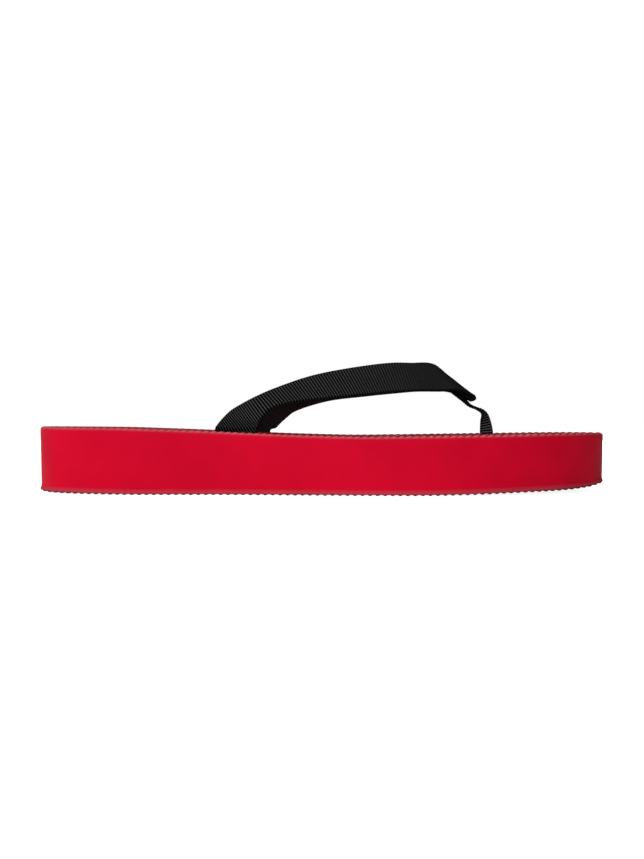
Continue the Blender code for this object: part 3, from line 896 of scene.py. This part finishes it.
def foam_finish(name, tones, roughness, pore_size):
    """Moulded EVA foam: a dense skin, faintly cloudy, with fine closed pores that soften its shine.

    The tones list colours by the height share that the mesh's notes keep. On the outsole and the footbed
    they also carry painted shade, and on the footbed a painted rim highlight.
    """
    material, tree, output = new_material(name)
    place = add_node(tree, "ShaderNodeTexCoord")
    notes = add_node(tree, "ShaderNodeAttribute", (("attribute_name", "pattern"),))
    height = add_node(tree, "ShaderNodeSeparateXYZ", (), (("Vector", notes.outputs["Vector"]),))
    tint = add_node(tree, "ShaderNodeValToRGB", (("ramp", tones),), (("Fac", height.outputs["Z"]),))
    clouds = add_node(
        tree, "ShaderNodeTexNoise",
        (("Scale", 1.0 / CLOUD_SIZE), ("Detail", 3.0), ("Roughness", 0.55)),
        (("Vector", place.outputs["Object"]),))
    cloudy = add_node(
        tree, "ShaderNodeMapRange",
        (("From Min", NOISE_LOW), ("From Max", NOISE_HIGH),
         ("To Min", CLOUD_DARK), ("To Max", CLOUD_LIGHT)),
        (("Value", clouds.outputs["Fac"]),))
    colour = add_node(
        tree, "ShaderNodeVectorMath", (("operation", "MULTIPLY"),),
        ((0, tint.outputs["Color"]), (1, cloudy.outputs["Result"])))
    pores = add_node(
        tree, "ShaderNodeTexNoise",
        (("Scale", 1.0 / pore_size), ("Detail", 2.0), ("Roughness", 0.6)),
        (("Vector", place.outputs["Object"]),))
    gloss = add_node(
        tree, "ShaderNodeMapRange",
        (("From Min", NOISE_LOW), ("From Max", NOISE_HIGH),
         ("To Min", roughness - PORE_SMOOTHER), ("To Max", roughness + PORE_ROUGHER)),
        (("Value", pores.outputs["Fac"]),))
    skin = add_node(
        tree, "ShaderNodeBump", (("Strength", BUMP_STRENGTH), ("Distance", PORE_DEPTH)),
        (("Height", pores.outputs["Fac"]),))
    shader = add_node(
        tree, "ShaderNodeBsdfPrincipled", (("IOR", FOAM_INDEX), ("Specular IOR Level", FOAM_SPECULAR)),
        (("Base Color", colour.outputs["Vector"]), ("Roughness", gloss.outputs["Result"]),
         ("Normal", skin.outputs["Normal"])))
    tree.links.new(shader.outputs["BSDF"], output.inputs["Surface"])
    return material


def webbing_finish(name, colour):
    """Woven polyester grosgrain: black yarns over thick cross ribs, painted shade in the grooves between
    them.
    """
    material, tree, output = new_material(name)
    weave = add_node(tree, "ShaderNodeAttribute", (("attribute_name", "pattern"),))
    height = add_node(tree, "ShaderNodeSeparateXYZ", (), (("Vector", weave.outputs["Vector"]),))
    yarns = add_node(
        tree, "ShaderNodeTexWave",
        (("wave_type", "BANDS"), ("bands_direction", "Y"), ("Scale", WAVE_LENGTH / YARN_PITCH),
         ("Distortion", YARN_WANDER), ("Detail", 1.0), ("Detail Scale", 2.0)),
        (("Vector", weave.outputs["Vector"]),))
    fuzz = add_node(
        tree, "ShaderNodeTexNoise", (("Scale", 1.0 / FUZZ_SIZE), ("Detail", 2.0)),
        (("Vector", weave.outputs["Vector"]),))
    uneven = add_node(
        tree, "ShaderNodeMath", (("operation", "MULTIPLY_ADD"), (1, FUZZ_SHARE)),
        ((0, fuzz.outputs["Fac"]), (2, height.outputs["Z"])))
    # Black in a groove is painted shade; the yarn's colour on a crest serves as a painted highlight
    tones = ((0.0, WEBBING_GROOVE_SHADE), (1.0, colour))
    tint = add_node(tree, "ShaderNodeValToRGB", (("ramp", tones),), (("Fac", uneven.outputs["Value"]),))
    threads = add_node(
        tree, "ShaderNodeBump", (("Strength", BUMP_STRENGTH), ("Distance", YARN_DEPTH)),
        (("Height", yarns.outputs["Fac"]),))
    shader = add_node(
        tree, "ShaderNodeBsdfPrincipled",
        (("Roughness", WEBBING_ROUGHNESS), ("IOR", WEBBING_INDEX),
         ("Specular IOR Level", WEBBING_SPECULAR)),
        (("Base Color", tint.outputs["Color"]), ("Normal", threads.outputs["Normal"])))
    tree.links.new(shader.outputs["BSDF"], output.inputs["Surface"])
    return material


class SANDAL_OT_outsole(bpy.types.Operator):
    """Thin red sheet under the sole, with fine cross ribs that end in teeth along its edge"""
    bl_idname = "sandal.outsole"
    bl_label = "Outsole"

    def execute(self, context):
        settings = context.scene.sandal_sole
        xs = stations(settings.mesh_step / MM)
        low = underside(xs)
        teeth = low + tread_grooves(xs, settings.tread_pitch / MM, settings.tread_depth / MM)
        rim = OUTSOLE_STEP - WALL_DRAFT
        high = low + OUTSOLE_THICKNESS + JOINT_LAP
        half = (
            (rim - TREAD_MARGIN, teeth),
            (rim - EDGE_SOFTNESS, teeth),
            (rim - EDGE_SOFTNESS * EDGE_BEND, teeth + EDGE_SOFTNESS * EDGE_BEND),
            (rim, teeth + EDGE_SOFTNESS),
            (rim, high - LEDGE_SLOPE),
            (rim - OUTSOLE_STEP * LEDGE_BEND, high - LEDGE_SLOPE * LEDGE_BEND),
            (rim - OUTSOLE_STEP, high),
        )
        sections = sole_sections(xs, half, 1)
        notes = np.zeros_like(sections)
        notes[:, :, 2] = (sections[:, :, 2] - low[:, None]) / (high - low)[:, None]
        notes[:, (0, -2, -1), 2] = TREAD_TONE
        bm = mapped_grid(sections, notes)
        # The dark tread colour at the foot of the edge is painted shade; further in, the underside keeps
        # the outsole's colour
        tones = (
            (0.0, settings.tread_shade_colour),
            (TREAD_EDGE, shaded(settings.tread_shade_colour, TREAD_EASED)),
            (TREAD_TONE, settings.outsole_colour),
            (1.0, settings.foam_colour),
        )
        finish = foam_finish("moulded_rubber_outsole", tones, OUTSOLE_ROUGHNESS, OUTSOLE_PORE)
        finish_piece("outsole_sheet", bm, finish, "outsole")
        return {"FINISHED"}


class SANDAL_OT_midsole(bpy.types.Operator):
    """Thick red foam slab with a plain wall that leans in a little towards the ground"""
    bl_idname = "sandal.midsole"
    bl_label = "Midsole"

    def execute(self, context):
        settings = context.scene.sandal_sole
        xs = stations(settings.mesh_step / MM)
        low = underside(xs) + OUTSOLE_THICKNESS + JOINT_LAP
        high = top(xs) - FOOTBED_THICKNESS - JOINT_LAP
        half = [
            (-WALL_DRAFT * (1.0 - share), low * (1.0 - share) + high * share)
            for share in np.linspace(0.0, 1.0, WALL_RINGS)
        ]
        bm = mapped_grid(sole_sections(xs, half, 1))
        tones = ((0.0, settings.foam_colour), (1.0, settings.foam_colour))
        finish = foam_finish("moulded_eva_foam", tones, FOAM_ROUGHNESS, MIDSOLE_PORE)
        finish_piece("midsole_slab", bm, finish, "midsole")
        return {"FINISHED"}


class SANDAL_OT_footbed(bpy.types.Operator):
    """Thin red top sheet with a round edge and low cross ribs all over it"""
    bl_idname = "sandal.footbed"
    bl_label = "Footbed"

    def execute(self, context):
        settings = context.scene.sandal_sole
        xs = stations(settings.mesh_step / MM)
        falls, half, leans, highlight_rings = footbed_edge(top(xs))
        across = round(BALL_WIDTH / (settings.mesh_step / MM) * FOOTBED_FINENESS)
        sections = sole_sections(xs, half, across)
        sweep = np.zeros(sections.shape[1])
        sweep[:len(falls)] = RIM_SWEEP * np.minimum(falls / FOOTBED_ROUND_DOWN, 1.0)
        sweep = np.maximum(sweep, np.roll(sweep[::-1], -1))
        ribs = footbed_ribs(sections[:, :, 0] + sweep, sections[:, :, 1], settings.rib_pitch / MM)
        post_half = context.scene.sandal_webbing.post_width / MM / 2.0
        pinch = slot_pinch(sections[:, :, 0], sections[:, :, 1], post_half)
        lift = settings.rib_height / MM * ribs * (1.0 - pinch) - SLOT_PINCH_DEPTH * pinch
        raise_along(sections, xs, leans, lift)
        notes = np.zeros_like(sections)
        notes[:, :, 2] = footbed_tones(xs, ribs, pinch, highlight_rings)
        bm = mapped_grid(sections, notes)
        # The groove colour paints shade into the grooves; the crest colour paints a highlight on the rim's
        # ribs
        tones = (
            (0.0, settings.footbed_groove_shade),
            (WALL_TONE, settings.foam_colour),
            (1.0, settings.rim_highlight_colour),
        )
        finish = foam_finish("textured_eva_footbed", tones, FOAM_ROUGHNESS, FOOTBED_PORE)
        finish_piece("footbed_sheet", bm, finish, "footbed")
        return {"FINISHED"}


class SANDAL_OT_strap(bpy.types.Operator):
    """One length of black cross-ribbed webbing, folded over at the toe"""
    bl_idname = "sandal.strap"
    bl_label = "Strap"

    def execute(self, context):
        settings = context.scene.sandal_webbing
        thickness = settings.strap_thickness / MM
        rib_gap = settings.strap_rib / MM
        rows, ribs, shade = strap_sheet(settings.strap_width / MM, thickness, rib_gap)
        face, back = rib_strength(ribs)
        depth = settings.rib_depth / MM
        bm = webbing_mesh(rows, ribs, shade, thickness, depth, CREST_SHARPNESS, face, back)
        finish = webbing_finish("black_grosgrain_webbing", settings.yarn_colour)
        finish_piece("strap_webbing", bm, finish, "upper_strap")
        return {"FINISHED"}


class SANDAL_OT_toe_post(bpy.types.Operator):
    """Narrow black tape that hangs from under the fold and turns into the footbed"""
    bl_idname = "sandal.toe_post"
    bl_label = "Toe Post"

    def execute(self, context):
        settings = context.scene.sandal_webbing
        rib_gap = settings.post_rib / MM
        rows, ribs, thickness = post_sheet(settings.post_width / MM, settings.post_thickness / MM, rib_gap)
        look = np.interp(ribs, *zip(*POST_STRENGTH)), np.full_like(ribs, FLAT_TONE)
        shade = np.ones(rows.shape[:2])
        depth = settings.rib_depth / MM
        bm = webbing_mesh(rows, ribs, shade, thickness, depth, POST_SHARPNESS, look, look)
        finish = webbing_finish("black_grosgrain_tape", settings.yarn_colour)
        finish_piece("toe_post_tape", bm, finish, "toe_post")
        return {"FINISHED"}


class SANDAL_OT_stage(bpy.types.Operator):
    """Pale floor, soft lights and the camera at the side of the shoe"""
    bl_idname = "sandal.stage"
    bl_label = "Stage"

    def execute(self, context):
        settings = context.scene.sandal_stage
        scene = context.scene
        scene.view_settings.view_transform = "Standard"
        add_floor(scene, settings)
        add_world(scene)
        for light in LIGHTS:
            add_light(scene, *light)
        add_camera(scene, settings)
        return {"FINISHED"}


def add_floor(scene, settings):
    """Wide pale floor that the tread stands on."""
    bm = bmesh.new()
    bmesh.ops.create_grid(bm, x_segments=1, y_segments=1, size=FLOOR_REACH)
    mesh = bpy.data.meshes.new("floor")
    bm.to_mesh(mesh)
    bm.free()
    material, tree, output = new_material("pale_paper_floor")
    path = add_node(tree, "ShaderNodeLightPath")
    glow = add_node(
        tree, "ShaderNodeMapRange", (("To Min", 0.0), ("To Max", FLOOR_GLOW)),
        (("Value", path.outputs["Is Camera Ray"]),))
    shader = add_node(
        tree, "ShaderNodeBsdfPrincipled",
        (("Base Color", (*settings.floor_colour, 1.0)), ("Roughness", FLOOR_ROUGHNESS),
         ("Specular IOR Level", 0.0), ("Emission Color", WHITE)),
        (("Emission Strength", glow.outputs["Result"]),))
    tree.links.new(shader.outputs["BSDF"], output.inputs["Surface"])
    mesh.materials.append(material)
    floor = bpy.data.objects.new("floor", mesh)
    scene.collection.objects.link(floor)


def add_world(scene):
    """White surround, brightest behind the heel and darkest at the toe, plain white to the camera."""
    world = bpy.data.worlds.new("white_surround")
    scene.world = world
    world.use_nodes = True
    tree = world.node_tree
    tree.nodes.clear()
    place = add_node(tree, "ShaderNodeTexCoord")
    heading = add_node(
        tree, "ShaderNodeVectorMath", (("operation", "DOT_PRODUCT"), (1, WORLD_AIM)),
        ((0, place.outputs["Generated"]),))
    level = add_node(
        tree, "ShaderNodeMapRange",
        (("From Min", WORLD_FADE[0]), ("From Max", WORLD_FADE[1]),
         ("To Min", WORLD_DARK), ("To Max", WORLD_BRIGHT)),
        (("Value", heading.outputs["Value"]),))
    path = add_node(tree, "ShaderNodeLightPath")
    seen = add_node(
        tree, "ShaderNodeMath", (("operation", "MAXIMUM"),),
        ((0, level.outputs["Result"]), (1, path.outputs["Is Camera Ray"])))
    sky = add_node(
        tree, "ShaderNodeBackground", (("Color", WHITE),),
        (("Strength", seen.outputs["Value"]),))
    add_node(tree, "ShaderNodeOutputWorld", (), (("Surface", sky.outputs["Background"]),))


def add_light(scene, name, place, aim, size, power, mirrored):
    """Square soft box that faces its aim, with or without a reflection in gloss."""
    light = bpy.data.lights.new(name, "AREA")
    light.shape = "SQUARE"
    light.size = size
    light.energy = power
    item = bpy.data.objects.new(name, light)
    scene.collection.objects.link(item)
    item.location = place
    item.rotation_euler = (Vector(aim) - Vector(place)).to_track_quat("-Z", "Y").to_euler()
    item.visible_glossy = mirrored


def add_camera(scene, settings):
    """Camera level with the strap, square to the outer side of the shoe."""
    camera = bpy.data.cameras.new("side_camera")
    camera.lens = settings.focal_length
    camera.sensor_fit = "VERTICAL"
    camera.sensor_height = SENSOR_SIZE
    camera.clip_start = CAMERA_NEAR
    item = bpy.data.objects.new("side_camera", camera)
    scene.collection.objects.link(item)
    item.location = (CAMERA_SIDE, -settings.camera_distance, settings.camera_height)
    aim = Vector((CAMERA_SIDE, 0.0, AIM_HEIGHT)) - item.location
    item.rotation_euler = aim.to_track_quat("-Z", "Y").to_euler()
    scene.camera = item


class SANDAL_PT_sidebar(bpy.types.Panel):
    """Sizes, colours and the steps that build the sandal"""
    bl_idname = "SANDAL_PT_sidebar"
    bl_label = "Toe Post Sandal"
    bl_space_type = "VIEW_3D"
    bl_region_type = "UI"
    bl_category = "Sandal"

    def draw(self, context):
        scene = context.scene
        for group in (scene.sandal_sole, scene.sandal_webbing, scene.sandal_stage):
            box = self.layout.box()
            for name in group.bl_rna.properties.keys():
                if name not in ("rna_type", "name"):
                    box.prop(group, name)
        for operator in OPERATORS:
            self.layout.operator(operator.bl_idname)


GROUPS = (
    ("sandal_sole", SoleSettings),
    ("sandal_webbing", WebbingSettings),
    ("sandal_stage", StageSettings),
)
OPERATORS = (
    SANDAL_OT_outsole,
    SANDAL_OT_midsole,
    SANDAL_OT_footbed,
    SANDAL_OT_strap,
    SANDAL_OT_toe_post,
    SANDAL_OT_stage,
)


def register():
    """Register the settings, operators and panel."""
    for name, group in GROUPS:
        bpy.utils.register_class(group)
        setattr(bpy.types.Scene, name, bpy.props.PointerProperty(type=group))
    for operator in OPERATORS:
        bpy.utils.register_class(operator)
    bpy.utils.register_class(SANDAL_PT_sidebar)


def unregister():
    """Take the panel, operators and settings away again."""
    bpy.utils.unregister_class(SANDAL_PT_sidebar)
    for operator in reversed(OPERATORS):
        bpy.utils.unregister_class(operator)
    for name, group in reversed(GROUPS):
        delattr(bpy.types.Scene, name)
        bpy.utils.unregister_class(group)


def main():
    """Dress the sandal and set the stage."""
    register()
    bpy.ops.sandal.outsole()
    bpy.ops.sandal.midsole()
    bpy.ops.sandal.footbed()
    bpy.ops.sandal.strap()
    bpy.ops.sandal.toe_post()
    bpy.ops.sandal.stage()


if __name__ == "__main__":
    main()
